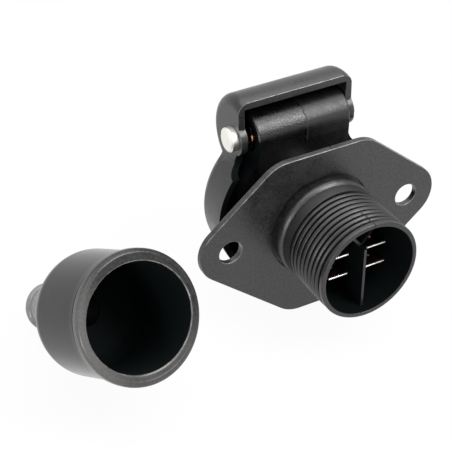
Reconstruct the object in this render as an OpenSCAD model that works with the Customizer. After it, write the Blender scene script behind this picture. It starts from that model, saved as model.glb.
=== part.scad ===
// Three-pole panel socket with a sprung flap lid, and its cable boot taken off.
// X runs along the line of the fixing holes, Y along the plug axis (plug side +Y, cable side -Y), Z up.
// The origin is the plug axis on the rear face of the flange, the face that lies on the panel.

/* [Flange] */
// Distance between the two fixing holes
hole_spacing = 58; // [56:0.5:64]
// Diameter of the fixing holes
hole_d = 7; // [5:0.1:8]
// Thickness of the flange
flange_t = 2; // [1.8:0.1:4]
// Radius of the flange's two ends
end_r = 9.4; // [8:0.1:11]
// Height of the flange's top edge above the plug axis
flange_top = 23.9; // [22:0.1:26]
// Depth of the flange's bottom edge below the plug axis
flange_bottom = 28.7; // [27:0.1:31]
// Radius of the flange's four blunt corners
corner_r = 10; // [6:0.5:12]
// Width between the centres of the two top corners
top_corner_w = 22.6; // [18:0.2:26]
// Width between the centres of the two bottom corners
bottom_corner_w = 11.7; // [8:0.2:18]

/* [Rear barrel] */
// Length of the barrel behind the flange
barrel_len = 25.1; // [23:0.1:30]
// Outside diameter of the thread
thread_d = 30.6; // [30.4:0.1:32]
// Diameter of the bore at its mouth
bore_d = 27.9; // [26:0.1:28]
// Diameter of the bore at its floor
bore_floor_d = 26.8; // [25:0.1:27.6]
// Depth of the bore
bore_depth = 21; // [18:0.1:22]
// Diameter of the barrel at its root
root_d = 29.8; // [29:0.1:30.2]
// Diameter of the rounded collar at the root
collar_d = 31.6; // [31:0.1:33]
// Width of the rounded collar
collar_w = 2.8; // [2:0.1:3.4]
// Distance from the flange to the crest of the collar
collar_at = 2.8; // [2.2:0.1:3.2]
// Width of the ring groove in the flange around the barrel
ring_groove_w = 1.2; // [0.6:0.1:2]
// Depth of that ring groove
ring_groove_depth = 1.2; // [0.4:0.1:1.8]

/* [Terminal divider] */
// Thickness of the three walls between the terminals
divider_t = 0.9; // [0.7:0.1:1.2]
// Distance from the barrel's mouth to the edge of the upright wall
divider_inset = 2.6; // [1:0.1:5]
// Distance from the barrel's mouth to the edge of the two upper walls
arm_inset = 5; // [2:0.1:7]
// Height of the point where the three walls meet
divider_apex = 5.3; // [4.8:0.1:5.6]
// Angle of the two upper walls from upright
divider_angle = 40; // [38:1:46]

/* [Plug mouth] */
// Diameter of the neck between the flange and the plug mouth
neck_d = 32.8; // [32:0.1:34]
// Distance from the flange's rear face to the rear of the plug mouth
mouth_y = 13; // [12.4:0.1:14]
// Outside diameter of the plug mouth
mouth_d = 41.6; // [40.6:0.1:42.4]
// Wall of the plug mouth
mouth_wall = 2.4; // [1.8:0.1:3]
// Distance from the flange's rear face to the front edge of the mouth
mouth_len = 23.6; // [23:0.1:24.4]
// Diameter of the well in front of the contact face
well_d = 27; // [26.4:0.1:28]
// Depth from the front edge to the contact face
plug_depth = 11; // [9:0.1:11.5]
// Thickness of the contact face
face_t = 2; // [1.5:0.1:3]
// Width of the slots that the plug's blades enter
slot_w = 2.2; // [1.8:0.1:2.6]
// Length of those slots
slot_len = 8; // [7:0.1:9]

/* [Contacts] */
// Width of a side contact's terminal tabs
tab_w = 6.3; // [4.8:0.1:6.5]
// Width of the top contact's terminal tab
top_tab_w = 4.8; // [2.8:0.1:5]
// Thickness of the contact metal
metal_t = 0.8; // [0.6:0.1:0.9]
// Distance from the barrel's mouth to the tips of the tabs
tab_inset = 6.2; // [5:0.1:9]
// Distance between a side contact's two tabs
tab_spread = 6.5; // [6:0.1:7.2]
// Distance of the side contacts from the middle
contact_x = 6; // [5.8:0.1:6.5]
// Height of the middle of the side contacts
contact_z = -0.65; // [-1.2:0.05:0]
// Height of the top contact
top_contact_z = 9.6; // [9.5:0.1:10.2]
// Free gap between the jaws that hold a plug blade
jaw_gap = 1.1; // [0.8:0.1:1.4]
// Height of the jaws
jaw_h = 5; // [4:0.1:5.2]
// Clearance round a contact in its pocket
pocket_gap = 0.3; // [0.2:0.05:0.4]
// Diameter of the latch hole in a tab
latch_hole_d = 1.8; // [1:0.1:2]

/* [Hinge] */
// Height of the hinge axis above the top of the plug mouth
hinge_rise = 2.9; // [2.6:0.1:3.6]
// Distance of the hinge axis in front of the flange's rear face
hinge_y = 18.2; // [17.6:0.1:18.6]
// Radius of the hinge boss
boss_r = 6.7; // [6.2:0.1:7]
// Width of the hinge boss
boss_w = 29.9; // [26:0.1:32]
// Rounding of the boss's two ends
boss_edge_r = 0.8; // [0.3:0.1:1]
// Gap between the boss and the left ear, where the spring shows
spring_gap = 2.4; // [2.1:0.1:2.8]
// Gap between the boss and the right ear
side_gap = 0.3; // [0.3:0.1:1]
// Diameter of the hinge pin
pin_d = 5; // [4:0.1:5.2]
// Diameter of the pin's head
pin_head_d = 7.2; // [6.4:0.1:9]
// Height of the pin's head
pin_head_t = 2.3; // [1:0.1:3]
// Running clearance of the pin in the boss, on the radius
pin_play = 0.05; // [0.02:0.01:0.1]
// Clearance of the pin in the lid's ears, on the radius
pin_fit = 0.02; // [0.01:0.01:0.05]
// Diameter of the spring wire
wire_d = 1.1; // [0.9:0.05:1.2]
// Turns of the spring
spring_turns = 8; // [5:1:8]
// Mean radius of the spring's turns
coil_r = 3.7; // [3.6:0.05:3.9]
// Clearance round the spring in its pocket
spring_play = 0.6; // [0.4:0.1:0.7]

/* [Lid] */
// How far left of the plug axis the lid's cup lies, pushed over by the spring
cup_shift = 1.1; // [0:0.1:1.2]
// Gap between the plug mouth and the rear edge of the lid's skirt
skirt_gap = 2.25; // [1.9:0.05:2.7]
// Wall of the lid
lid_wall = 1.8; // [1.4:0.1:2.2]
// Distance of the skirt's rear edge in front of the flange's rear face
skirt_y = 12.3; // [11.5:0.1:13]
// Draft of the skirt, on the radius
skirt_draft = 0.85; // [0.5:0.05:1.1]
// Radius of the lid's front edge
front_r = 4; // [2.5:0.1:5]
// Thickness of the ears that carry the pin
ear_t = 2; // [1.8:0.1:3]
// Radius of the eyes round the pin
eye_r = 5; // [4.4:0.1:5.6]
// Distance of the hood's rear edge in front of the flange's rear face
hood_y = 15.3; // [14.8:0.1:16]
// Gap between the boss and the hood
hood_gap = 3.6; // [3:0.1:3.8]
// Wall of the hood
hood_wall = 2.1; // [1.6:0.1:2.4]
// Rounding of the hood's two ends
hood_edge_r = 3; // [2.5:0.1:4.5]
// Radius of the flare between an ear and the skirt
flare_r = 12; // [8:0.5:18]
// Depth of the hollow below each eye, below the hinge axis
waist_drop = 5.8; // [5.4:0.1:6.4]
// Radius of that hollow
waist_r = 4; // [3.4:0.1:4.2]
// Gap between the lid and the front edge of the mouth
lid_gap = 0.7; // [0.4:0.1:1.2]
// Width of the nose that holds a plug
nose_w = 8; // [5:0.5:12]
// Height of that nose
nose_h = 1.2; // [0.8:0.1:1.3]

/* [Boot] */
// Diameter of the boot's rim
rim_d = 35.4; // [34:0.1:38]
// Width of the rim
rim_w = 3.4; // [2.5:0.1:5]
// Diameter of the boot behind its rim
boot_d = 33.8; // [32:0.1:34]
// Diameter of the boot at its shoulder
shoulder_d = 34.3; // [32:0.1:35]
// Length from the rim's face to the end of the dome
boot_len = 33; // [28:0.5:40]
// Radius of the shoulder
shoulder_r = 8; // [6:0.1:9]
// Wall of the boot
boot_wall = 2.2; // [1.6:0.1:3]
// Diameter of the mouth inside the rim
boot_mouth_d = 29.4; // [28:0.1:30]
// Diameter of the nipple
nipple_d = 12.2; // [11:0.1:14]
// Length of the nipple beyond the dome
nipple_len = 23.6; // [15:0.1:30]
// Diameter of the cable passage
cable_d = 8; // [5:0.1:9]
// Diameter of the bead at the nipple's end
bead_d = 13.8; // [12.4:0.1:15]
// Place of the centre of the boot's mouth
boot_at = [-65.4, -19.1, 5.5];
// Rise of the mouth's direction above level
boot_tilt = 29.9; // [0:0.1:60]
// Heading of the mouth's direction from the cable side towards the right
boot_heading = 9.2; // [-30:0.1:30]

/* [Hidden] */
$fn = 96;

// Overlap that joins two volumes of one piece, and reach of a cut past a face
join = 0.4;
past = 1;
hinge_z = mouth_d / 2 + hinge_rise;
mouth_in_r = mouth_d / 2 - mouth_wall;
face_y = mouth_len - plug_depth;
pocket_end = face_y - face_t;
floor_s = barrel_len - bore_depth;
tab_end = barrel_len - tab_inset;
contact_back = 0.4;
jaw_end = pocket_end - pocket_gap;

lid_in_w = boss_w + spring_gap + side_gap;
lid_w = lid_in_w + 2 * ear_t;
boss_x0 = -lid_in_w / 2 + spring_gap;
boss_x1 = boss_x0 + boss_w;
skirt_in_r = mouth_d / 2 + skirt_gap;
skirt_out_r = skirt_in_r + lid_wall;
lid_in_y = mouth_len + lid_gap;
lid_y = lid_in_y + lid_wall;
hood_in_r = boss_r + hood_gap;
hood_out_r = hood_in_r + hood_wall;

// The spring's free leg clears the boss by this much
leg_gap = 0.35;
spring_x0 = boss_x0 - wire_d / 2 - leg_gap;
spring_pitch = wire_d * 1.15;
spring_x1 = spring_x0 + spring_turns * spring_pitch;
spring_pocket_r = coil_r + wire_d / 2 + spring_play;
// Turn angles at which the spring's two legs leave the coil, and how far the legs run on
free_turn = -30;
free_leg = 7.5;
fixed_turn = -40 - 360 * spring_turns;
fixed_leg = 5.6;

flange_discs = [
    [hole_spacing / 2, 0, end_r],
    [top_corner_w / 2, flange_top - corner_r, corner_r],
    [-top_corner_w / 2, flange_top - corner_r, corner_r],
    [-hole_spacing / 2, 0, end_r],
    [-bottom_corner_w / 2, corner_r - flange_bottom, corner_r],
    [bottom_corner_w / 2, corner_r - flange_bottom, corner_r]];

// Turns a profile of [radius, distance behind the flange's rear face] about the plug axis
module turned() rotate([90, 0, 0]) rotate_extrude() children();

// Extrudes an outline of [x, z] from y0 to y1
module along_y(y0, y1) translate([0, y1, 0]) rotate([90, 0, 0]) linear_extrude(y1 - y0) children();

// Extrudes an outline of [y, z] from x0 to x1
module along_x(x0, x1) translate([x0, 0, 0]) rotate([90, 0, 90]) linear_extrude(x1 - x0) children();

// Round bar on the hinge axis
module hinge_bar(r, x0, x1) translate([x0, hinge_y, hinge_z]) rotate([0, 90, 0]) cylinder(r = r, h = x1 - x0);

// Block between two corners
module block(low, high) translate(low) cube(high - low);

// Outward normal of the straight edge that touches two discs of [x, y, radius], taken anticlockwise
function edge_normal(a, b) =
    let (run = [b[0] - a[0], b[1] - a[1]],
         turn = atan2(run[1], run[0]) - acos((a[2] - b[2]) / norm(run)))
    [cos(turn), sin(turn)];

// Points where the straight edges of a rounded outline touch its discs
function edge_points(discs) = [
    for (i = [0 : len(discs) - 1])
        let (a = discs[i], b = discs[(i + 1) % len(discs)], n = edge_normal(a, b))
        each [[a[0] + a[2] * n[0], a[1] + a[2] * n[1]], [b[0] + b[2] * n[0], b[1] + b[2] * n[1]]]];

// Outline with straight edges and round corners
module rounded_outline(discs) {
    polygon(edge_points(discs));
    for (disc = discs) translate([disc[0], disc[1]]) circle(disc[2]);
}

// Half section of the rear barrel: root, rounded collar and the part that carries the thread
module barrel_profile() {
    crest = thread_d / 2;
    root = root_d / 2;
    step = 0.35;
    neck_start = collar_at + collar_w / 2 + step;
    polygon([[0, -flange_t / 2], [0, barrel_len], [crest - step, barrel_len], [crest, barrel_len - step],
        [crest, neck_start + step], [root, neck_start], [root, -flange_t / 2]]);
    bulge = collar_d / 2 - root;
    collar_r = (pow(collar_w / 2, 2) + pow(bulge, 2)) / (2 * bulge);
    translate([collar_d / 2 - collar_r, collar_at]) circle(collar_r);
}

// Solid of revolution about the hinge axis from x0 to x1, with its two edges rounded
module hinge_barrel(r, x0, x1, edge_r) translate([x0, hinge_y, hinge_z]) rotate([0, 90, 0]) rotate_extrude() {
    square([r - edge_r, x1 - x0]);
    translate([0, edge_r]) square([r, x1 - x0 - 2 * edge_r]);
    for (at = [edge_r, x1 - x0 - edge_r]) translate([r - edge_r, at]) circle(edge_r);
}

// Boss on top of the plug mouth that carries the lid's pin, on a foot that leans in towards the flange
module hinge_boss() {
    lean = 0.2;
    rear_y = hinge_y - boss_r;
    front_y = hinge_y + boss_r / 2;
    hinge_barrel(boss_r, boss_x0, boss_x1, boss_edge_r);
    along_x(boss_x0 + boss_edge_r / 2, boss_x1 - boss_edge_r / 2)
        polygon([[rear_y, hinge_z], [rear_y + lean, hinge_z - boss_r], [rear_y + lean, 0],
            [front_y, 0], [front_y, hinge_z]]);
}

// Three walls that part the terminals from each other
module divider() {
    reach = bore_d / 2 + join / 2;
    along_y(divider_inset - barrel_len, join - floor_s)
        intersection() {
            circle(reach);
            translate([-divider_t / 2, -2 * reach]) square([divider_t, 2 * reach + divider_apex]);
        }
    along_y(arm_inset - barrel_len, join - floor_s)
        intersection() {
            circle(reach);
            for (side = [-1, 1])
                translate([0, divider_apex]) rotate(side * divider_angle)
                    translate([-divider_t / 2, -divider_t / 2]) square([divider_t, 2 * reach]);
        }
}

// Pocket for a contact, w wide and h high, with the slot for a plug blade through the contact face
module contact_pocket(w, h, slot) {
    block([-w / 2 - pocket_gap, -floor_s - past, -h / 2 - pocket_gap],
          [w / 2 + pocket_gap, pocket_end, h / 2 + pocket_gap]);
    block([-slot[0] / 2, pocket_end - join, -slot[1] / 2], [slot[0] / 2, face_y + past, slot[1] / 2]);
}

module socket_body() color("#2b2a29") {
    top_pocket_h = jaw_gap + 4 * metal_t;
    difference() {
        union() {
            along_y(0, flange_t) rounded_outline(flange_discs);
            turned() barrel_profile();
            rotate([-90, 0, 0]) cylinder(d = neck_d, h = mouth_len - past);
            translate([0, mouth_y, 0]) rotate([-90, 0, 0]) cylinder(d = mouth_d, h = mouth_len - mouth_y);
            hinge_boss();
        }
        turned() polygon([[0, floor_s], [bore_floor_d / 2, floor_s], [bore_d / 2, barrel_len],
            [bore_d / 2, barrel_len + past], [0, barrel_len + past]]);
        turned() translate([root_d / 2, -ring_groove_depth])
            square([ring_groove_w, ring_groove_depth + past / 4]);
        translate([0, face_y, 0]) rotate([-90, 0, 0]) cylinder(d = well_d, h = plug_depth + past);
        translate([0, mouth_y + mouth_wall, 0]) rotate([-90, 0, 0]) cylinder(r = mouth_in_r, h = mouth_len);
        for (side = [-1, 1]) {
            translate([side * hole_spacing / 2, -past, 0]) rotate([-90, 0, 0])
                cylinder(d = hole_d, h = flange_t + 2 * past);
            translate([side * contact_x, 0, contact_z])
                contact_pocket(tab_w, tab_spread + metal_t, [slot_w, slot_len]);
        }
        translate([0, 0, top_contact_z]) contact_pocket(jaw_h, top_pocket_h, [slot_len, slot_w]);
        hinge_bar(pin_d / 2 + pin_play, boss_x0 - past, boss_x1 + past);
        hinge_bar(spring_pocket_r, boss_x0 - past, spring_x1 + wire_d);
        // Slot that holds the spring's fixed leg
        along_x(spring_x1 - wire_d, spring_x1 + wire_d)
            translate([hinge_y, hinge_z]) rotate(fixed_turn)
                translate([coil_r - wire_d * 0.75, -fixed_leg - wire_d]) square([wire_d * 1.5, fixed_leg + wire_d]);
    }
    divider();
}

// Flat blade terminal with a chamfered tip, running back from the contact
module tab(w) {
    chamfer = 0.2;
    latch_back = 3.2;
    y1 = contact_back + metal_t;
    translate([0, 0, -metal_t / 2]) linear_extrude(metal_t) difference() {
        polygon([[-w / 2, y1], [w / 2, y1], [w / 2, chamfer - tab_end], [w / 2 - chamfer, -tab_end],
            [chamfer - w / 2, -tab_end], [-w / 2, chamfer - tab_end]]);
        translate([0, latch_back - tab_end]) circle(d = latch_hole_d);
    }
}

// Pair of sprung jaws that pinch towards a plug blade lying in the YZ plane, joined by a back plate
module jaws() {
    open = jaw_gap / 2 + metal_t;
    pinch_y = contact_back + 0.7 * (jaw_end - contact_back);
    for (side = [0, 1]) mirror([side, 0, 0]) translate([0, 0, -jaw_h / 2]) linear_extrude(jaw_h)
        polygon([[open, contact_back], [jaw_gap / 2, pinch_y], [open - metal_t / 2, jaw_end],
            [open + metal_t / 2, jaw_end], [jaw_gap / 2 + metal_t, pinch_y], [open + metal_t, contact_back]]);
    block([-open - metal_t, contact_back, -jaw_h / 2], [open + metal_t, contact_back + metal_t, jaw_h / 2]);
}

module side_contact(side) color("#d8d6d0") translate([side * contact_x, 0, contact_z]) {
    for (up = [-1, 1]) translate([0, 0, up * tab_spread / 2]) tab(tab_w);
    block([-tab_w / 2, contact_back, -tab_spread / 2], [tab_w / 2, contact_back + metal_t, tab_spread / 2]);
    jaws();
}

module contact_left() side_contact(-1);

module contact_right() side_contact(1);

module contact_top() color("#d8d6d0") translate([0, 0, top_contact_z]) {
    tab(top_tab_w);
    rotate([0, 90, 0]) jaws();
}

module hinge_pin() color("#e6e3dc") {
    head_x = -lid_w / 2;
    chamfer = 0.5;
    end_inset = 0.2;
    hinge_bar(pin_d / 2, head_x - join, lid_w / 2 - end_inset);
    translate([head_x, hinge_y, hinge_z]) rotate([0, -90, 0]) rotate_extrude()
        polygon([[0, 0], [pin_head_d / 2, 0], [pin_head_d / 2, pin_head_t - chamfer],
            [pin_head_d / 2 - chamfer, pin_head_t], [0, pin_head_t]]);
}

// Ring of points round the spring's wire at a turn angle, pushed along the wire by an extra length
function wire_ring(turn, x, extra) =
    let (out = [0, cos(turn), sin(turn)], ahead = [0, -sin(turn), cos(turn)])
    [for (k = [0 : 7]) [x, hinge_y, hinge_z] + out * coil_r + ahead * extra
        + wire_d / 2 * (out * cos(45 * k) + [1, 0, 0] * sin(45 * k))];

module hinge_spring() color("#b88a5c") {
    steps = 20;
    count = spring_turns * steps;
    rings = concat(
        [wire_ring(free_turn, spring_x0, free_leg)],
        [for (i = [0 : count]) let (t = i / count)
            wire_ring(free_turn + t * (fixed_turn - free_turn), spring_x0 + t * (spring_x1 - spring_x0), 0)],
        [wire_ring(fixed_turn, spring_x1, -fixed_leg)]);
    last = len(rings) - 1;
    polyhedron(
        points = [for (ring = rings) each ring],
        faces = concat(
            [[for (k = [0 : 7]) k]],
            [for (i = [0 : last - 1], k = [0 : 7])
                let (a = 8 * i + k, b = 8 * i + (k + 1) % 8) [a, a + 8, b + 8, b]],
            [[for (k = [7 : -1 : 0]) 8 * last + k]]));
}

// Turns a profile of the lid's cup about the cup's own axis
module cup_turned() translate([-cup_shift, 0, 0]) turned() children();

// Round cup of the lid, as a half section of [radius, distance behind the flange's rear face]
module cup_profile() {
    edge_r = skirt_out_r - skirt_draft;
    polygon([[0, -skirt_y], [skirt_out_r, -skirt_y], [edge_r, front_r - lid_y], [edge_r - front_r, -lid_y],
        [0, -lid_y]]);
    translate([edge_r - front_r, front_r - lid_y]) circle(front_r);
}

// Ears below the hinge axis, with flares that run out into the cup, as an outline of [x, z]
module ear_outline() {
    cup_r = skirt_out_r - skirt_draft;
    translate([-lid_w / 2, 0]) square([lid_w, hinge_z]);
    for (side = [-1, 1]) {
        flare_x = side * (lid_w / 2 + flare_r);
        flare_z = sqrt(pow(cup_r + flare_r, 2) - pow(flare_x + cup_shift, 2));
        difference() {
            polygon([[flare_x, flare_z], [0, flare_z], [-cup_shift, 0]]);
            translate([flare_x, flare_z]) circle(flare_r);
        }
    }
}

module lid() color("#2d2c2b") {
    reach = 2 * skirt_out_r;
    ear_inset = 2.9;
    waist_z = hinge_z - waist_drop;
    pin_hole_r = pin_d / 2 + pin_fit;
    difference() {
        union() {
            difference() {
                union() {
                    cup_turned() cup_profile();
                    difference() {
                        hinge_barrel(hood_out_r, -lid_w / 2, lid_w / 2, hood_edge_r);
                        block([-reach, 0, 0], [reach, hood_y, reach]);
                    }
                    along_y(skirt_y, lid_y - ear_inset) ear_outline();
                }
                // Straight rear edge of the hood and ears, hollowed out below the eyes
                along_x(-reach, reach) {
                    translate([hood_y - reach, waist_z]) square(reach);
                    translate([skirt_y, waist_z]) circle(waist_r);
                }
            }
            hinge_bar(eye_r, -lid_w / 2, lid_w / 2);
        }
        cup_turned() polygon([[0, past], [skirt_in_r, past], [skirt_in_r, -skirt_y],
            [skirt_in_r - skirt_draft, -lid_in_y], [0, -lid_in_y]]);
        hinge_bar(hood_in_r, -lid_in_w / 2, lid_in_w / 2);
        hinge_bar(pin_hole_r, -lid_w / 2 - past, lid_w / 2 + past);
    }
    // Stop that the spring's free leg pushes on
    stop_at = 4.5;
    along_x(-lid_in_w / 2 - join, spring_x0 + wire_d / 2)
        intersection() {
            translate([hinge_y, hinge_z]) circle(hood_in_r + join);
            translate([hinge_y, hinge_z]) rotate(free_turn + 90)
                translate([stop_at, -hood_out_r]) square([free_leg - stop_at, hood_out_r - coil_r - wire_d * 0.6]);
        }
    // Nose inside the skirt that holds a plug by its rib
    nose_back = 2;
    nose_len = 3;
    intersection() {
        cup_turned() translate([skirt_in_r - nose_h, -skirt_y - nose_back - nose_len])
            square([nose_h + join, nose_len]);
        block([-nose_w / 2, 0, -reach], [nose_w / 2, lid_y, 0]);
    }
}

// Half section of the boot, as [radius, distance from the rim's face]; thin takes its wall off
module boot_section(thin) {
    body_r = shoulder_d / 2 - thin;
    round_r = shoulder_r - thin;
    sweep = 78;
    crown = 0.8;
    round_c = [shoulder_d / 2 - shoulder_r, boot_len - crown - shoulder_r];
    foot = round_c + round_r * [cos(sweep), sin(sweep)];
    rise = foot[0] / tan(sweep);
    polygon([[0, rim_w], [boot_d / 2 - thin, rim_w], [body_r, round_c[1]], round_c, foot, [0, foot[1] + rise]]);
    translate(round_c) circle(round_r);
}

module boot_profile() {
    edge = 1;
    end = boot_len + nipple_len;
    bead_r = 1.3;
    difference() {
        union() {
            boot_section(0);
            rounded_outline([[rim_d / 2 - edge, rim_w - edge, edge], [edge, rim_w - edge, edge],
                [edge, edge, edge], [rim_d / 2 - edge, edge, edge]]);
            translate([0, boot_len - shoulder_r]) square([nipple_d / 2, nipple_len + shoulder_r]);
            translate([bead_d / 2 - bead_r, end - bead_r]) circle(bead_r);
        }
        boot_section(boot_wall);
        translate([0, -past]) square([boot_mouth_d / 2, rim_w + 2 * past]);
        square([cable_d / 2, end + past]);
        translate([-2 * rim_d, -past]) square([2 * rim_d, end + 2 * past]);
    }
}

module cable_boot() color("#262626")
    translate(boot_at) rotate([-90 - boot_tilt, 0, boot_heading]) rotate_extrude() boot_profile();

socket_body();
contact_left();
contact_right();
contact_top();
hinge_pin();
hinge_spring();
lid();
cable_boot();
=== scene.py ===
"""Looks of the three-pin panel socket with its flap lid and loose cable boot.

Shapes are drawn in millimetres and finished in metres. X runs along the line of the fixing holes,
+Y points to the plug and the lid, -Y to the cables, and +Z up to the hinge.
"""

import math

import bmesh
import bpy
from mathutils import Matrix, Vector
from mathutils.bvhtree import BVHTree


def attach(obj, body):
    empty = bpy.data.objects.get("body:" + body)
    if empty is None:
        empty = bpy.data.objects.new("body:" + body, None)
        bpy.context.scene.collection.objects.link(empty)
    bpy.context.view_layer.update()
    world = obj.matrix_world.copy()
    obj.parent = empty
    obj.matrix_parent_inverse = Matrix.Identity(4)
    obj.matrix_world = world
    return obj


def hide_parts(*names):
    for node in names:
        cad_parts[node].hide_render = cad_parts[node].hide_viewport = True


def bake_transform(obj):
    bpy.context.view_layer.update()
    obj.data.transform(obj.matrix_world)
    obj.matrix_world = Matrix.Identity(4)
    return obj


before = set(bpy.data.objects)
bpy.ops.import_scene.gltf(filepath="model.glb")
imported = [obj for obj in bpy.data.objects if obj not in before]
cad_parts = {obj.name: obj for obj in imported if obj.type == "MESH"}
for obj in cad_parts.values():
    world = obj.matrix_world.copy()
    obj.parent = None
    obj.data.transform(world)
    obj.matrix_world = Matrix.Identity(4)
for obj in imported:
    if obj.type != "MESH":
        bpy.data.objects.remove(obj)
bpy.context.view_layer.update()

MM = 0.001
TURN = 2 * math.pi
FLOOR_Z = -28.7

# Flange, whose outline runs round discs of [x, z, radius]
FLANGE_T = 2.0
FLANGE_DISCS = [(29, 0, 9.4), (11.3, 13.9, 10), (-11.3, 13.9, 10),
                (-29, 0, 9.4), (-5.85, -18.7, 10), (5.85, -18.7, 10)]
FLANGE_EDGE_R, HOLE_EDGE_R = 0.25, 0.3
HOLE_X, HOLE_R = 29, 3.5

# Barrel, with depths behind the flange's rear face, and pockets of [x, z, width, height]
AROUND = 168
WELL_FLOOR, POCKET_FLOOR = 4.1, -1.9
POCKETS = ((-6, -0.65, 6.9, 7.9), (6, -0.65, 6.9, 7.9), (0, 9.6, 5.6, 4.9))
WALL_T, WALL_EDGE_R, WALL_FOOT, WALLS_MEET_Z = 0.9, 0.25, -4, 5.3
THREAD = {"Pitch": 1.82, "Turns": 8.5, "Radius": 14.7, "Foot": 1.3, "Crest": 0.9, "Depth": 1.2, "Start": 8.1}

# Contacts: reach and heights of the tabs, length of their thin ends, share of the thickness left there
TAB_END, TAB_PLANES, LEAD_IN, TIP_SHARE = 18.9, (-3.9, 2.6, 9.6), 0.8, 0.45

# Hinge
HINGE_Y, HINGE_Z = 18.2, 23.7
PIN_HEAD_X = -18.3
SKIRT_Y = 12.3
WIRE_D, COIL_R, COIL_TURNS, COIL_PITCH, COIL_X0 = 1.1, 3.7, 8, 1.265, -14.8
COIL_X1 = COIL_X0 + COIL_TURNS * COIL_PITCH
COIL_LEG = 0.6

# Boot: the middle of its mouth, its own directions, and the part of the mouth that is oval
BOOT_AT = Vector((-65.4, -19.1, 5.5))
BOOT_SIDE = Vector((math.cos(math.radians(9.2)), math.sin(math.radians(9.2)), 0))
BOOT_OUT = Matrix.Rotation(math.radians(-29.9), 3, BOOT_SIDE) @ Vector((BOOT_SIDE.y, -BOOT_SIDE.x, 0))
BOOT_UP = BOOT_OUT.cross(BOOT_SIDE)
OVAL, OVAL_DEPTH, OVAL_R0, OVAL_R1, OVAL_FADE = 0.9, 12, 14, 16, 1.1


class Value:
    """A node's output; arithmetic on it adds Math nodes."""

    def __init__(self, nodes, socket):
        self.nodes, self.socket = nodes, socket

    def __add__(self, other): return self.nodes.math("ADD", self, other)
    def __radd__(self, other): return self.nodes.math("ADD", self, other)
    def __sub__(self, other): return self.nodes.math("SUBTRACT", self, other)
    def __rsub__(self, other): return self.nodes.math("SUBTRACT", other, self)
    def __mul__(self, other): return self.nodes.math("MULTIPLY", self, other)
    def __truediv__(self, other): return self.nodes.math("DIVIDE", self, other)
    def absolute(self): return self.nodes.math("ABSOLUTE", self)
    def sine(self): return self.nodes.math("SINE", self)
    def cosine(self): return self.nodes.math("COSINE", self)
    def above(self, other): return self.nodes.math("MAXIMUM", self, other)
    def below(self, other): return self.nodes.math("MINIMUM", self, other)


class Nodes:
    """A node tree, and how nodes are added to it."""

    def __init__(self, tree):
        self.tree = tree
        tree.nodes.clear()

    def node(self, kind, inputs=None, output=0, **settings):
        """Adds a node and gives one of its outputs; an input is another node's output or a plain value."""
        made = self.tree.nodes.new(kind)
        for key, setting in settings.items():
            setattr(made, key, setting)
        for key, given in (inputs or {}).items():
            if isinstance(given, Value):
                self.tree.links.new(given.socket, made.inputs[key])
            else:
                made.inputs[key].default_value = given
        return Value(self, made.outputs[output]) if len(made.outputs) else None

    def math(self, operation, *values):
        return self.node("ShaderNodeMath", dict(enumerate(values)), operation=operation)

    def ray(self, kind):
        """Tells what kind of ray is looking."""
        return self.node("ShaderNodeLightPath", output=kind)


class Finish(Nodes):
    """A material's shader."""

    def __init__(self, name):
        self.material = bpy.data.materials.new(name)
        self.material.use_nodes = True
        super().__init__(self.material.node_tree)

    def place(self):
        return self.node("ShaderNodeTexCoord", output="Object")

    def axes(self, place):
        """The three coordinates of a place, in millimetres."""
        return [self.node("ShaderNodeSeparateXYZ", {0: place}, axis) / MM for axis in "XYZ"]

    def ramp(self, value, low, high, to_low=0.0, to_high=1.0):
        """Smooth change from one level to another."""
        return self.node("ShaderNodeMapRange",
                         {"Value": value, "From Min": low, "From Max": high, "To Min": to_low, "To Max": to_high},
                         clamp=True, interpolation_type="SMOOTHSTEP")

    def fall(self, value, low, high):
        """Smooth change from one to nothing."""
        return self.ramp(value, low, high, 1.0, 0.0)

    def noise(self, place, size_mm, detail=3.0, roughness=0.55):
        return self.node("ShaderNodeTexNoise", {"Vector": place, "Scale": 1 / (size_mm * MM),
                                                "Detail": detail, "Roughness": roughness})

    def patches(self, place, size_mm, detail=3.0, roughness=0.55, border=0.2):
        """Noise drawn out into dark and pale patches with soft borders."""
        return self.ramp(self.noise(place, size_mm, detail, roughness), 0.5 - border, 0.5 + border)

    def mix(self, factor, one, two):
        return self.node("ShaderNodeMix", {"Factor": factor, 6: one, 7: two}, 2, data_type="RGBA")

    def bump(self, height, depth_mm, strength=1.0, normal=None):
        inputs = {"Height": height, "Distance": depth_mm * MM, "Strength": strength}
        if normal is not None:
            inputs["Normal"] = normal
        return self.node("ShaderNodeBump", inputs)

    def surface(self, **inputs):
        """Ends the tree in one Principled shader."""
        named = {key.replace("_", " "): value for key, value in inputs.items()}
        shader = self.node("ShaderNodeBsdfPrincipled", named)
        self.node("ShaderNodeOutputMaterial", {"Surface": shader})
        return self.material


def grey(level, warm=0.0):
    """A near-neutral colour; warm shifts it from blue towards red."""
    return (level * (1 + warm), level, level * (1 - warm), 1.0)


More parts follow.
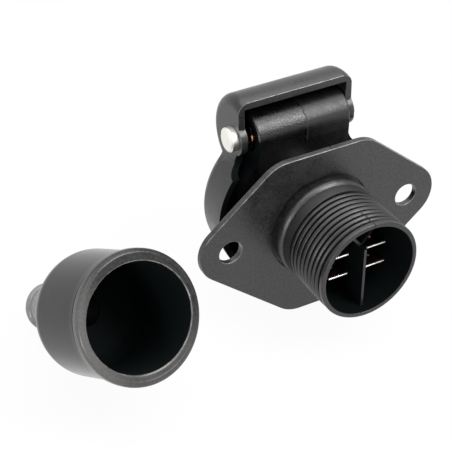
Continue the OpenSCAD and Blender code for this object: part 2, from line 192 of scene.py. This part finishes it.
def body_finish():
    """Satin black moulding, grainy and mottled.

    The left part of the boss sparkles up to a faint mould line. The barrel is sandier, duller at the
    root, and has a parting line at its lip.
    """
    s = Finish("body_plastic")
    at = s.place()
    x, y, z = s.axes(at)
    cloud = s.patches(at, 5.0, 5.0, 0.65)
    mottle = s.patches(at, 0.8, 4.0, 0.7, border=0.15)
    grain = s.noise(at, 0.3, 2.0)
    sand = s.noise(at, 0.3, 3.0, 0.7)
    speck = s.ramp(s.noise(at, 0.32, 2.0, 0.7), 0.35, 0.7)

    boss = s.ramp(z, 20.5, 21.5) * s.ramp(y, 6.0, 8.0)
    front = s.ramp(y, 2.5, 4.0)
    barrel = s.fall(y, -5.0, -4.3)
    root = barrel * s.ramp(y, -8.3, -7.8)
    lip_top = s.ramp(z, 12.0, 13.0) * s.fall(y, -19.5, -18.0)

    right_of_line = x - 1.8 - (z * 1.9).sine() * 0.12
    sparkle = boss * s.fall(right_of_line, -0.6, 0.2)
    mould_line = boss * s.fall(right_of_line.absolute(), 0.05, 0.2)
    parting = lip_top * s.fall((x - 0.5 + (y * 1.3).sine() * 0.15).absolute(), 0.1, 0.3)
    line = mould_line.above(parting)

    colour = s.mix(cloud * 0.4 + mottle * 0.6, grey(0.004, 0.03), grey(0.022, 0.03))
    # Mould and parting lines are darker; in front of the flange the colour is painted darker as shade, and the
    # barrel is a little darker
    colour = s.mix(line.above(front).above(barrel * 0.6), colour, grey(0.002))
    rough = (0.36 + boss * 0.07 - sparkle * 0.15 + (cloud - 0.5) * 0.12 + (mottle - 0.5) * 0.08
             + mould_line * 0.2 + parting * 0.5 + root * 0.2)
    fine = s.bump(sand * barrel, 0.05, 0.8, s.bump(grain * 0.4 + mottle * 0.6, 0.03, 0.6))
    pitted = s.bump(speck * sparkle, 0.025, 0.9, fine)
    return s.surface(Base_Color=colour, Roughness=rough, Normal=s.bump(line, -0.08, 1.0, pitted),
                     Specular_IOR_Level=0.68, Coat_Weight=mottle * (1 - front) * (1 - barrel) * 0.25,
                     Coat_Roughness=0.4)


def lid_finish():
    """The lid's moulding, a shade greyer than the body."""
    s = Finish("lid_plastic")
    at = s.place()
    cloud = s.patches(at, 6.0, 4.0, 0.6)
    mottle = s.patches(at, 0.8, 4.0, 0.7, border=0.15)
    grain = s.noise(at, 0.35, 2.0)
    colour = s.mix(cloud * 0.5 + mottle * 0.5, grey(0.006, 0.03), grey(0.024, 0.03))
    return s.surface(Base_Color=colour, Roughness=0.32 + (cloud - 0.5) * 0.08 + (mottle - 0.5) * 0.08,
                     Normal=s.bump(grain * 0.4 + mottle * 0.6, 0.02, 0.6), Specular_IOR_Level=0.6)


def shade_paint_finish(name, level):
    """Painted shade: a dull blue-black for faces where shade falls, inside a moulding and in its hollows."""
    s = Finish(name)
    grain = s.noise(s.place(), 0.6, 2.0)
    dark = (level * 0.7, level, level * 1.1, 1)
    pale = (level * 1.1, level * 1.5, level * 1.6, 1)
    return s.surface(Base_Color=s.mix(grain, dark, pale), Roughness=0.6 + (grain - 0.5) * 0.2,
                     Specular_IOR_Level=0.03)


def rubber_finish():
    """Boot rubber: smooth on the cup and paler towards its underside as a painted reflection of the floor,
    mottled on the rim with painted light on its left, dusty on the nipple.
    """
    s = Finish("boot_rubber")
    at = s.place()

    def along(axis):
        """Distance in millimetres from the middle of the boot's mouth."""
        return s.node("ShaderNodeVectorMath", {0: at, 1: axis / MM}, "Value",
                      operation="DOT_PRODUCT") - BOOT_AT.dot(axis)

    depth, high, right = along(-BOOT_OUT), along(BOOT_UP), along(BOOT_SIDE)
    cloud = s.patches(at, 4.0, 5.0, 0.65)
    mottle = s.patches(at, 0.8, 3.0, 0.65)
    grain = s.noise(at, 0.3, 2.0)
    rim = s.fall(depth, 2.6, 3.2)
    # Painted light: the rim is paler on its left
    painted_lit_rim = rim * s.ramp(right, -17.0, -6.0, 0.6, 0.0)
    nipple = s.ramp(depth, 31.0, 33.0)
    # Painted reflection: paler towards the underside, standing for the floor's light
    painted_floor_light = s.fall(high, -15.0, -3.0) * (1 - rim * 0.6)

    colour = s.mix(cloud, grey(0.004, 0.02), grey(0.010, 0.02))
    colour = s.mix(rim * (0.3 + mottle * 0.7), colour, grey(0.03, 0.02))
    colour = s.mix(painted_lit_rim, colour, grey(0.16, 0.02))
    colour = s.mix(painted_floor_light * (0.7 + cloud * 0.3), colour, grey(0.13, 0.02))
    colour = s.mix(nipple * (0.8 + mottle * 0.2), colour, grey(0.27, 0.02))
    rough = 0.2 + (cloud - 0.5) * 0.06 + (grain - 0.5) * 0.06 + rim * mottle * 0.1
    return s.surface(Base_Color=colour, Roughness=rough, Specular_IOR_Level=0.32,
                     Normal=s.bump(mottle * rim, 0.012, 0.5, s.bump(grain, 0.008, 0.5)))


def contact_finish():
    """Cloudy plating, bright at the tabs' very ends; further in, painted shade in a dull red that also paints a
    faint copper reflection.
    """
    s = Finish("contact_metal")
    at = s.place()
    cloud = s.patches(at, 1.5, 4.0)
    bright = Vector((0.95, 0.93, 0.89))
    plating = s.mix(cloud, (*bright * 0.85, 1), (*bright, 1))
    # Painted shade further in along the tabs, in a dull red that paints a faint copper reflection
    inward_shade = s.ramp(s.axes(at)[1], 0.1 - TAB_END, 0.6 - TAB_END)
    return s.surface(Base_Color=s.mix(inward_shade, plating, (0.17, 0.075, 0.058, 1)), Metallic=1.0,
                     Roughness=0.3 + (cloud - 0.5) * 0.1)


def spring_finish():
    """Copper-coloured wire painted near-black as shade, but for a painted copper glint just above the hinge axis.
    """
    s = Finish("spring_wire")
    at = s.place()
    height = s.axes(at)[2]
    # Painted glint: a copper band just above the hinge axis; the rest is painted near-black as shade
    painted_glint = s.ramp(height, HINGE_Z, HINGE_Z + 0.4) * s.fall(height, HINGE_Z + 1.6, HINGE_Z + 2.0)
    return s.surface(Base_Color=s.mix(painted_glint, (0.008, 0.005, 0.004, 1), (0.24, 0.12, 0.06, 1)), Metallic=1.0,
                     Roughness=0.22 + s.noise(at, 0.8) * 0.1)


def pin_finish():
    """Cream nickel on the pin's head; the shank inside the hinge is painted near-black as shade."""
    s = Finish("pin_metal")
    at = s.place()
    cloud = s.patches(at, 1.5, 3.0)
    head = s.mix(cloud, (0.86, 0.845, 0.79, 1), (0.9, 0.885, 0.83, 1))
    # Painted shade: the shank is painted near-black
    shank = s.ramp(s.axes(at)[0], PIN_HEAD_X, PIN_HEAD_X + 0.3)
    return s.surface(Base_Color=s.mix(shank, head, grey(0.006)), Metallic=1.0,
                     Roughness=0.42 + (cloud - 0.5) * 0.06)


def edge_highlight_finish():
    """Painted highlight: pale, patchy lines on rounded edges, standing for the light that they catch."""
    s = Finish("painted_edge_highlight")
    highlight_patches = s.patches(s.place(), 2.5, 4.0, 0.6, border=0.15)
    return s.surface(Base_Color=s.mix(highlight_patches, grey(0.07, 0.02), grey(0.2, 0.02)),
                     Roughness=0.3 - highlight_patches * 0.06, Specular_IOR_Level=0.7)


body_plastic = body_finish()
# Painted highlight: pale lines put on edges where they would catch the light
painted_edge_highlight = edge_highlight_finish()
lid_plastic = lid_finish()
# Painted shade: flat blue-black put on faces where shade falls, in the socket and in the boot
painted_shade = shade_paint_finish("painted_shade", 0.0042)
painted_boot_shade = shade_paint_finish("painted_boot_shade", 0.007)
boot_rubber = rubber_finish()
contact_metal = contact_finish()
pin_metal = pin_finish()
spring_wire = spring_finish()


def bake(made):
    """Turns an object's modifiers into a plain mesh."""
    baked = bpy.data.meshes.new_from_object(made.evaluated_get(bpy.context.evaluated_depsgraph_get()))
    made.modifiers.clear()
    made.data = baked


def finish_piece(name, mesh, material, body, slot, *nodes, crease=35, shade_pick=None, highlight_pick=None, twist=None):
    """Puts a mesh in metres on its body, shaded evenly, in place of CAD nodes.

    The shade pick chooses the faces painted dark as shade, the highlight pick those of the edges painted light as
    highlights. twist, when given, leaves the piece off any body with its place baked into its mesh; its two
    places in metres, from the socket's end to the lid's, are not used.
    """
    mesh.name = name
    mesh.materials.clear()
    mesh.materials.append(material)
    shade_paint = painted_boot_shade if material is boot_rubber else painted_shade
    for pick, other in ((shade_pick, shade_paint), (highlight_pick, painted_edge_highlight)):
        if not pick:
            continue
        mesh.materials.append(other)
        for face in mesh.polygons:
            if pick(face.center / MM, face.normal):
                face.material_index = len(mesh.materials) - 1
    mesh.polygons.foreach_set("use_smooth", [True] * len(mesh.polygons))
    mesh.set_sharp_from_angle(angle=math.radians(crease))
    made = bpy.data.objects.new(name, mesh)
    bpy.context.scene.collection.objects.link(made)
    even = made.modifiers.new("even_shading", "WEIGHTED_NORMAL")
    even.keep_sharp = True
    bake(made)
    if twist:
        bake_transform(made)
    else:
        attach(made, body)
    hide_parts(*nodes)


def opened(mesh):
    """Copy of a mesh for editing, in millimetres."""
    bm = bmesh.new()
    bm.from_mesh(mesh)
    bmesh.ops.scale(bm, vec=(1 / MM,) * 3, verts=bm.verts)
    return bm


def cad_copy(node):
    """Copy of a CAD node for editing, with its flat faces joined up."""
    bm = opened(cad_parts[node].data)
    bmesh.ops.remove_doubles(bm, verts=bm.verts, dist=0.003)
    bmesh.ops.dissolve_limit(bm, angle_limit=math.radians(0.05), verts=bm.verts, edges=bm.edges)
    return bm


def split(bm, y, facing, drop_outer=False):
    """Cuts the faces across Y; drop_outer removes what lies on the side that the cut faces."""
    bmesh.ops.bisect_plane(bm, geom=bm.verts[:] + bm.edges[:] + bm.faces[:], dist=0.0001,
                           plane_co=(0, y, 0), plane_no=(0, facing, 0), clear_outer=drop_outer)


def to_mesh(bm, name):
    """Gives a shape drawn in millimetres back as a mesh in metres."""
    mesh = bpy.data.meshes.new(name)
    bm.to_mesh(mesh)
    bm.free()
    mesh.transform(Matrix.Scale(MM, 4))
    return mesh


def closed(bm, name):
    """Closes a shape's seams, turns its faces outward and gives it back as a mesh."""
    bmesh.ops.remove_doubles(bm, verts=bm.verts, dist=0.004)
    bmesh.ops.recalc_face_normals(bm, faces=bm.faces)
    return to_mesh(bm, name)


def ring(bm, points):
    """New corners at the given points."""
    return [bm.verts.new(p) for p in points]


def ring_edges(bm, points):
    """Edges of a closed ring."""
    return [bm.edges.get((a, b)) or bm.edges.new((a, b)) for a, b in zip(points, points[1:] + points[:1])]


def skin(bm, rings):
    """Faces between closed rings of equal count; a ring may be one corner repeated."""
    for one, two in zip(rings, rings[1:]):
        count = len(one)
        for i in range(count):
            j = (i + 1) % count
            bm.faces.new(list(dict.fromkeys((one[i], one[j], two[j], two[i]))))


def arc(centre, radius, start, end, steps):
    """Points of [across, along] on an arc, angles in degrees."""
    turns = [math.radians(start + (end - start) * k / steps) for k in range(steps + 1)]
    return [(centre[0] + radius * math.cos(t), centre[1] + radius * math.sin(t)) for t in turns]


def circle(radius, at=(0, 0), count=AROUND):
    """Points of [x, z] round a circle."""
    turns = [TURN * k / count for k in range(count)]
    return [(at[0] + radius * math.cos(t), at[1] + radius * math.sin(t)) for t in turns]


def turned(profile, count, place):
    """Solid of revolution: points of [radius, along] swept round an axis; place puts them in the frame."""
    bm = bmesh.new()
    rings = []
    for radius, along in profile:
        if radius:
            rings.append(ring(bm, [place(x, z, along) for x, z in circle(radius, count=count)]))
        else:
            rings.append(ring(bm, [place(0, 0, along)]) * count)
    skin(bm, rings)
    return bm


def at_depth(points, depth):
    """Places points of [x, z] at a distance behind the flange's rear face."""
    return [(x, -depth, z) for x, z in points]


def edge_round(radius, steps=4):
    """Pairs of [inset, depth] round an edge, from the rear face to the side."""
    turns = [math.pi / 2 * k / steps for k in range(steps + 1)]
    return [(radius * (1 - math.sin(t)), -radius * (1 - math.cos(t))) for t in turns]


def flange_ring(inset):
    """The flange's outline of [x, z], drawn in by an inset."""
    def edge_turn(a, b):
        run = (b[0] - a[0], b[1] - a[1])
        return math.atan2(run[1], run[0]) - math.acos((a[2] - b[2]) / math.hypot(*run))

    count, steps, points = len(FLANGE_DISCS), 16, []
    for i, disc in enumerate(FLANGE_DISCS):
        start = edge_turn(FLANGE_DISCS[i - 1], disc)
        end = edge_turn(disc, FLANGE_DISCS[(i + 1) % count])
        while end < start:
            end += TURN
        points += arc(disc, disc[2] - inset, math.degrees(start), math.degrees(end), steps)
    return points


def plate_with_barrel():
    """Flange, ring groove, collar, core of the thread, lip and bore, as one closed shell."""
    bm = bmesh.new()
    rear, front = [], []

    def edge_strip(outline, radius):
        """Rounded edge that runs from the rear face to the front face; outline gives a ring for an inset."""
        rows = edge_round(radius)
        path = rows + [(inset, -FLANGE_T - depth) for inset, depth in reversed(rows)]
        rings = [ring(bm, at_depth(outline(inset), depth)) for inset, depth in path]
        skin(bm, rings)
        rear.extend(ring_edges(bm, rings[0]))
        front.extend(ring_edges(bm, rings[-1]))

    edge_strip(flange_ring, FLANGE_EDGE_R)
    for side in (-1, 1):
        edge_strip(lambda inset: circle(HOLE_R + inset, (side * HOLE_X, 0), 64), HOLE_EDGE_R)

    # points of [radius, depth]
    groove = [(16.25, 0), (16.13, -0.05), (16.1, -0.15), (16.1, -1.2), (14.9, -1.2), (14.9, 1.35)]
    collar = [p for p in arc((14.26, 2.8), 1.54, -60, 60, 10) if p[0] >= 14.9]
    shoulder = [(14.9, 4.25), (14.92, 4.5), (15.05, 4.62), (15.25, 4.75),
                (15.3, 4.95), (15.3, 7.9), (15.25, 8.1)]
    core = [(14.35, 8.3), (14.3, 8.4), (14.3, 23.3), (14.35, 23.45)]
    lip = [(15.22, 23.6), (15.3, 23.75), *arc((14.9, 24.7), 0.4, 0, 90, 4),
           (14.2, 25.1), *arc((14.2, 24.85), 0.25, 90, 180, 3)]
    bore = [(13.93, 24.2), (13.4, WELL_FLOOR)]
    profile = groove + collar + shoulder + core + lip + bore
    rings = [ring(bm, at_depth(circle(radius), depth)) for radius, depth in profile]
    skin(bm, rings)
    rear.extend(ring_edges(bm, rings[0]))

    floor = ring_edges(bm, rings[-1])
    for x, z, width, height in POCKETS:
        left, right, low, high = x - width / 2, x + width / 2, z - height / 2, z + height / 2
        corners = [(left, low), (right, low), (right, high), (left, high)]
        top, bottom = ring(bm, at_depth(corners, WELL_FLOOR)), ring(bm, at_depth(corners, POCKET_FLOOR))
        skin(bm, [top, bottom])
        bm.faces.new(bottom)
        floor.extend(ring_edges(bm, top))
    for edges, towards in ((rear, -1), (front, 1), (floor, -1)):
        bmesh.ops.triangle_fill(bm, use_beauty=True, edges=edges, normal=(0, towards, 0))
    return closed(bm, "plate_with_barrel")


def in_barrel(at, normal):
    """Whether a face lines the barrel or its pockets, which are painted dark as shade."""
    return math.hypot(at.x, at.z) < 13.97 and at.y < FLANGE_T + 0.1


def flange_edge(at, normal):
    """Whether a face lies on the rounded rear edge of the flange or of a fixing hole, which is painted light as a
    highlight.
    """
    return 0 < at.y < HOLE_EDGE_R and normal.y > -0.97 and math.hypot(at.x, at.z) > 17


def wall(bm, low, high, rear, turn=0):
    """Thin terminal wall with a rounded rear edge, turned about the point where the walls meet."""
    half = WALL_T / 2
    across = [(half, WALL_FOOT)] + arc((half - WALL_EDGE_R, rear - WALL_EDGE_R), WALL_EDGE_R, 0, 90, 3)
    across += [(-x, depth) for x, depth in reversed(across)]
    spin, meet = Matrix.Rotation(-turn, 3, "Y"), Vector((0, 0, WALLS_MEET_Z))
    ends = [ring(bm, [spin @ Vector((x, -depth, z)) + meet for x, depth in across]) for z in (low, high)]
    skin(bm, ends)
    for end in ends:
        bm.faces.new(end)


def terminal_walls():
    """The upright wall below the contacts and the two slanting ones above them."""
    bm = bmesh.new()
    wall(bm, -19.2, 0.2, 22.5)
    for side in (-1, 1):
        wall(bm, -0.3, 9.6, 20.1, math.radians(side * 40))
    return closed(bm, "terminal_walls")


def shaded_wall_face(at, normal):
    """Whether a face of the walls is painted dark as shade: all but the rear edges on the left and in the middle.
    """
    return normal.y > -0.3 or at.x > 0.6


def front_of_body():
    """Neck, plug mouth and hinge boss, from the CAD solid in front of the flange."""
    bm = cad_copy("socket_body")
    split(bm, FLANGE_T + 0.001, -1, drop_outer=True)
    split(bm, SKIRT_Y, -1)
    return to_mesh(bm, "front_of_body")


def shaded_front_face(at, normal):
    """Whether a face is painted dark as shade: the boss's left end and foot, and the neck and mouth behind the
    lid's skirt.
    """
    from_axis = math.hypot(at.x, at.z)
    boss_foot = at.x < -13 and at.y < HINGE_Y - 5 and at.z < HINGE_Z + 0.8
    left_of_boss = at.x < -12 and at.z > 8 and from_axis > 16.5 and (normal.x < -0.8 or at.z < 19 or boss_foot)
    return left_of_boss or at.y < SKIRT_Y and at.z < 12 and 15.5 < from_axis < 21


def grown(name, sizes, draw, material):
    """Builds a node tree with named sizes in millimetres, and gives its result as a plain mesh in metres."""
    group = bpy.data.node_groups.new(name, "GeometryNodeTree")
    for size in sizes:
        group.interface.new_socket(size, in_out="INPUT", socket_type="NodeSocketFloat")
    group.interface.new_socket("Piece", in_out="OUTPUT", socket_type="NodeSocketGeometry")
    g = Nodes(group)
    shape = draw(g, {size: g.node("NodeGroupInput", output=size) for size in sizes})
    shape = g.node("GeometryNodeTransform", {"Geometry": shape, "Scale": (MM, MM, MM)})
    shape = g.node("GeometryNodeRealizeInstances", {"Geometry": shape})
    shape = g.node("GeometryNodeSetMaterial", {"Geometry": shape, "Material": material})
    g.node("NodeGroupOutput", {"Piece": shape})
    made = bpy.data.objects.new(name, bpy.data.meshes.new(name))
    bpy.context.scene.collection.objects.link(made)
    modifier = made.modifiers.new(name, "NODES")
    modifier.node_group = group
    for item in group.interface.items_tree:
        if item.in_out == "INPUT":
            modifier[item.identifier] = sizes[item.name]
    bake(made)
    mesh = made.data
    bpy.data.objects.remove(made)
    return mesh


def thread_ridge(g, size):
    """Ridge round the barrel: a trapezium with a rounded crest, swept along a helix and fading at both ends."""
    helix = g.node("GeometryNodeCurveSpiral",
                   {"Resolution": 128, "Rotations": size["Turns"], "Start Radius": size["Radius"],
                    "End Radius": size["Radius"], "Height": size["Turns"] * size["Pitch"]})
    section = g.node("GeometryNodeCurvePrimitiveQuadrilateral",
                     {"Bottom Width": size["Foot"], "Top Width": size["Crest"], "Offset": 0.0,
                      "Height": size["Depth"]}, mode="TRAPEZOID")
    section = g.node("GeometryNodeFilletCurve",
                     {"Curve": section, "Radius": size["Crest"] * 0.4, "Count": 3}, mode="POLY")
    section = g.node("GeometryNodeTransform", {"Geometry": section, "Rotation": (0, 0, -math.pi / 2)})
    along = g.node("GeometryNodeSplineParameter", output="Factor")
    fade = (along.below(1 - along) * size["Turns"] * 6 + 0.1).below(1.0)
    ridge = g.node("GeometryNodeCurveToMesh",
                   {"Curve": helix, "Profile Curve": section, "Scale": fade, "Fill Caps": True})
    ridge = g.node("GeometryNodeTransform", {"Geometry": ridge, "Rotation": (math.pi / 2, 0, 0)})
    start = g.node("ShaderNodeCombineXYZ", {"Y": 0 - size["Start"]})
    return g.node("GeometryNodeTransform", {"Geometry": ridge, "Translation": start})


def spring_coil(g, size):
    """Torsion spring: a helix of wire on the hinge axis with a straight leg at each end."""
    free, fixed = math.radians(-30), math.radians(-40) - TURN * COIL_TURNS

    def leg(turn, x, run):
        """Straight wire that leaves the coil at its end."""
        out, ahead = Vector((0, math.cos(turn), math.sin(turn))), Vector((0, -math.sin(turn), math.cos(turn)))
        start = Vector((x, HINGE_Y, HINGE_Z)) + out * COIL_R
        return g.node("GeometryNodeCurvePrimitiveLine", {"Start": start, "End": start + ahead * run})

    line = g.node("GeometryNodeCurvePrimitiveLine", {"Start": (0, 0, 0), "End": (0, 0, 1)})
    line = g.node("GeometryNodeResampleCurve", {"Curve": line, "Count": COIL_TURNS * 32 + 1})
    along = g.node("GeometryNodeSplineParameter", output="Factor")
    turn = along * (fixed - free) + free
    spot = g.node("ShaderNodeCombineXYZ", {"X": along * (COIL_TURNS * COIL_PITCH) + COIL_X0,
                                           "Y": turn.cosine() * size["Coil radius"] + HINGE_Y,
                                           "Z": turn.sine() * size["Coil radius"] + HINGE_Z})
    coil = g.node("GeometryNodeSetPosition", {"Geometry": line, "Position": spot})
    joined = g.tree.nodes.new("GeometryNodeJoinGeometry")
    for part in (leg(free, COIL_X0, 7.5), coil, leg(fixed, COIL_X1, -5.6)):
        g.tree.links.new(part.socket, joined.inputs[0])
    wire = g.node("GeometryNodeCurvePrimitiveCircle", {"Resolution": 12, "Radius": size["Wire"] / 2})
    return g.node("GeometryNodeCurveToMesh",
                  {"Curve": Value(g, joined.outputs[0]), "Profile Curve": wire, "Fill Caps": True})


def softened(node, edge, angle=35, rear_only=False):
    """Copy of a CAD node with its sharp edges rounded, or only those round its flat rear faces."""
    bm = cad_copy(node)
    surface = BVHTree.FromBMesh(bm)
    sharp = [e for e in bm.edges if len(e.link_faces) == 2 and e.calc_face_angle(0) > math.radians(angle)
             and (not rear_only or e.is_convex and min(f.normal.y for f in e.link_faces) < -0.995)]
    bmesh.ops.bevel(bm, geom=sharp, offset=edge, offset_type="OFFSET", segments=3, profile=0.5,
                    affect="EDGES", clamp_overlap=False)
    for vert in bm.verts:
        nearest, _, _, distance = surface.find_nearest(vert.co)
        if distance > edge * 0.5:
            vert.co = nearest
    return closed(bm, node)


def shaded_lid_face(at, normal):
    """Whether a face of the lid is painted dark as shade: its rear below the hood, and the back of its left ear.
    """
    below_hood = at.y < 24 and at.z < 19.5 and normal.y < -0.3
    return below_hood or at.x < -14 and 8 < at.z < 19.5 and at.y < 16 and normal.x > -0.5


def hood_edge(at, normal):
    """Whether a face lies on the upper rear edge of the lid's hood, which is painted light as a highlight."""
    return -0.95 < normal.y < -0.3 and at.y < 16 and at.z > 28 and normal.z > 0.1


def contact(node):
    """Copy of a contact whose tabs thin out towards their ends."""
    bm = opened(softened(node, 0.1))
    split(bm, LEAD_IN - TAB_END, 1)
    for vert in bm.verts:
        share = (vert.co.y + TAB_END) / LEAD_IN
        if share < 1:
            middle = min(TAB_PLANES, key=lambda z: abs(z - vert.co.z))
            vert.co.z = middle + (vert.co.z - middle) * (TIP_SHARE + (1 - TIP_SHARE) * share)
    return closed(bm, node)


def hinge_pin():
    """Pin along the hinge axis, with a flat head on the left whose edge is rounded."""
    def place(x, z, along):
        return Vector((PIN_HEAD_X - along, HINGE_Y + x, HINGE_Z + z))

    # points of [radius, distance to the left of the head's underside]
    shank = [(0, -36.4), (2.2, -36.4), (2.5, -36.1), (2.5, 0)]
    head = [(3.5, 0), (3.6, 0.1), (3.6, 1.55), *arc((3.3, 1.75), 0.3, 0, 45, 3),
            (2.98, 2.2), *arc((2.9, 2.1), 0.2, 60, 90, 2), (0, 2.3)]
    return closed(turned(shank + head, 64, place), "hinge_pin")


def cable_boot():
    """Boot in the attitude in which it lies, with an oval mouth and a fine groove behind its rim."""
    def place(x, z, depth):
        radius = math.hypot(x, z)
        if OVAL_R0 < radius < OVAL_R1 and depth < OVAL_DEPTH:
            wider = OVAL * ((x / radius) ** 2 - 0.5) * (1 - depth / OVAL_DEPTH)
            stretch = 1 + wider * min(1, (OVAL_R1 - radius) / OVAL_FADE) / radius
            x, z = x * stretch, z * stretch
        return BOOT_AT + BOOT_SIDE * x + BOOT_UP * z - BOOT_OUT * depth

    # points of [radius, depth behind the mouth]
    mouth = [(14.7, 12), *arc((15.25, 0.7), 0.55, 180, 270, 6),
             (15.9, 0.15), (16.0, 0.03), (16.1, 0.0), (16.4, 0.0)]
    rim = [*arc((16.5, 1.2), 1.2, -85, 0, 6), (17.7, 2.7), (17.6, 2.95), (17.4, 3.1)]
    groove = [(16.6, 3.15), (16.55, 3.4), (16.95, 3.45), (17.08, 3.6), (17.02, 4.5)]
    cup = [(16.98, 5.2), (16.92, 7), (17.15, 24.2), *arc((9.15, 24.2), 8, 5, 74, 12)]
    nipple = [(8.3, 32.55), (7.2, 32.85), (6.5, 33.25), (6.2, 33.9), (6.1, 35),
              (6.1, 53.9), (6.2, 54.2), (6.5, 54.35)]
    bead = [*arc((5.6, 55.3), 1.3, -30, 90, 8), (4.3, 56.6), (4.05, 56.45)]
    bore = [(4, 56.2), (4, 31.4), (4.2, 31.0), (6, 30.6)]
    inside = [*arc((9.15, 24.2), 5.8, 74, 0, 10), (14.7, 12)]
    profile = mouth + rim + groove + cup + nipple + bead + bore + inside
    return closed(turned(profile, 160, place), "cable_boot")


def boot_place(at):
    """Depth behind the boot's mouth and the way out from its axis."""
    depth = (BOOT_AT - at).dot(BOOT_OUT)
    return depth, at - BOOT_AT + BOOT_OUT * depth


def shaded_boot_face(at, normal):
    """Whether a face is painted dark as shade: inside the boot, and in the groove behind its rim."""
    depth, out = boot_place(at)
    return depth > 0.6 and normal.dot(out) < 0 or 3.12 < depth < 4.4


def boot_lip(at, normal):
    """Whether a face lies on the rounded inner edge of the boot's mouth, which is painted light as a highlight.
    """
    depth, out = boot_place(at)
    return 0.2 < depth < 0.6 and out.length < 15.6


finish_piece("socket_shell", plate_with_barrel(), body_plastic, "socket", "body_plastic", "socket_body",
             shade_pick=in_barrel, highlight_pick=flange_edge)
finish_piece("terminal_walls", terminal_walls(), body_plastic, "socket", "body_plastic", "socket_body",
             shade_pick=shaded_wall_face)
finish_piece("mouth_and_boss", front_of_body(), body_plastic, "socket", "body_plastic", "socket_body",
             crease=20, shade_pick=shaded_front_face)
finish_piece("barrel_thread", grown("barrel_thread", THREAD, thread_ridge, body_plastic),
             body_plastic, "socket", "body_plastic", "socket_body")
finish_piece("flap_lid", softened("lid", 0.2, rear_only=True), lid_plastic, "lid", "lid_plastic", "lid",
             shade_pick=shaded_lid_face, highlight_pick=hood_edge)
finish_piece("boot", cable_boot(), boot_rubber, "socket", "boot_rubber", "cable_boot",
             shade_pick=shaded_boot_face, highlight_pick=boot_lip)
finish_piece("pin", hinge_pin(), pin_metal, "lid", "pin_metal", "hinge_pin")
finish_piece("spring", grown("spring", {"Wire": WIRE_D, "Coil radius": COIL_R}, spring_coil, spring_wire),
             spring_wire, None, "spring_wire", "hinge_spring",
             twist=[Vector((x, HINGE_Y, HINGE_Z)) * MM for x in (COIL_X1 - COIL_LEG, COIL_X0 + COIL_LEG)])
for node in ("contact_left", "contact_right", "contact_top"):
    finish_piece(node + "_metal", contact(node), contact_metal, "socket", "contact_metal", node)


def white_floor():
    """Pale floor that stays white to the camera and still takes the object's shadow."""
    s = Finish("floor")
    seen = s.ray("Is Camera Ray").above(s.ray("Is Glossy Ray")).above(s.ray("Is Transmission Ray"))
    diffuse = s.node("ShaderNodeBsdfDiffuse", {"Color": (0.9, 0.9, 0.9, 1)})
    glow = s.node("ShaderNodeEmission", {"Color": (1, 1, 1, 1), "Strength": 1.0})
    shader = s.node("ShaderNodeMixShader", {0: seen * 0.95, 1: diffuse, 2: glow})
    s.node("ShaderNodeOutputMaterial", {"Surface": shader})
    bpy.ops.mesh.primitive_plane_add(size=8, location=(0, 0, FLOOR_Z * MM))
    floor = bpy.context.object
    floor.name = "floor"
    floor.data.materials.append(s.material)


def softbox(name, at, size, power):
    """Square soft light that faces the origin."""
    lamp = bpy.data.lights.new(name, "AREA")
    lamp.shape, lamp.size, lamp.energy = "SQUARE", size, power
    made = bpy.data.objects.new(name, lamp)
    made.location = at
    made.rotation_euler = (-Vector(at)).to_track_quat("-Z", "Y").to_euler()
    bpy.context.scene.collection.objects.link(made)


def surround():
    """World that is white to the camera and in reflections, and a weak light otherwise."""
    world = bpy.data.worlds.new("surround")
    world.use_nodes = True
    s = Nodes(world.node_tree)
    seen = s.ray("Is Camera Ray").above(s.ray("Is Glossy Ray") * 0.9).above(s.ray("Is Transmission Ray"))
    back = s.node("ShaderNodeBackground", {"Color": (1, 1, 1, 1), "Strength": seen.above(0.25)})
    s.node("ShaderNodeOutputWorld", {"Surface": back})
    bpy.context.scene.world = world


def camera():
    """The photograph's viewpoint, looking at the cable side from above left."""
    place = Vector((-172.0, -258.56, 225.14)) * MM
    heading, height = math.radians(-28.683), math.radians(36.167)
    right = Vector((math.cos(heading), math.sin(heading), 0))
    level = math.cos(height)
    back = Vector((math.sin(heading) * level, -math.cos(heading) * level, math.sin(height)))
    up = back.cross(right)
    data = bpy.data.cameras.new("camera")
    data.sensor_width, data.lens, data.clip_start = 36.0, 107.83, 0.01
    made = bpy.data.objects.new("camera", data)
    made.matrix_world = Matrix.Translation(place) @ Matrix((right, up, back)).transposed().to_4x4()
    bpy.context.scene.collection.objects.link(made)
    bpy.context.scene.camera = made


white_floor()
softbox("overhead", (0.0, 0.05, 0.55), 0.8, 4.0)
softbox("front", (0.23, -0.34, 0.41), 0.25, 2.2)
softbox("left", (-0.45, -0.39, 0.06), 0.15, 1.0)
surround()
camera()
bpy.context.scene.view_settings.view_transform = "Standard"
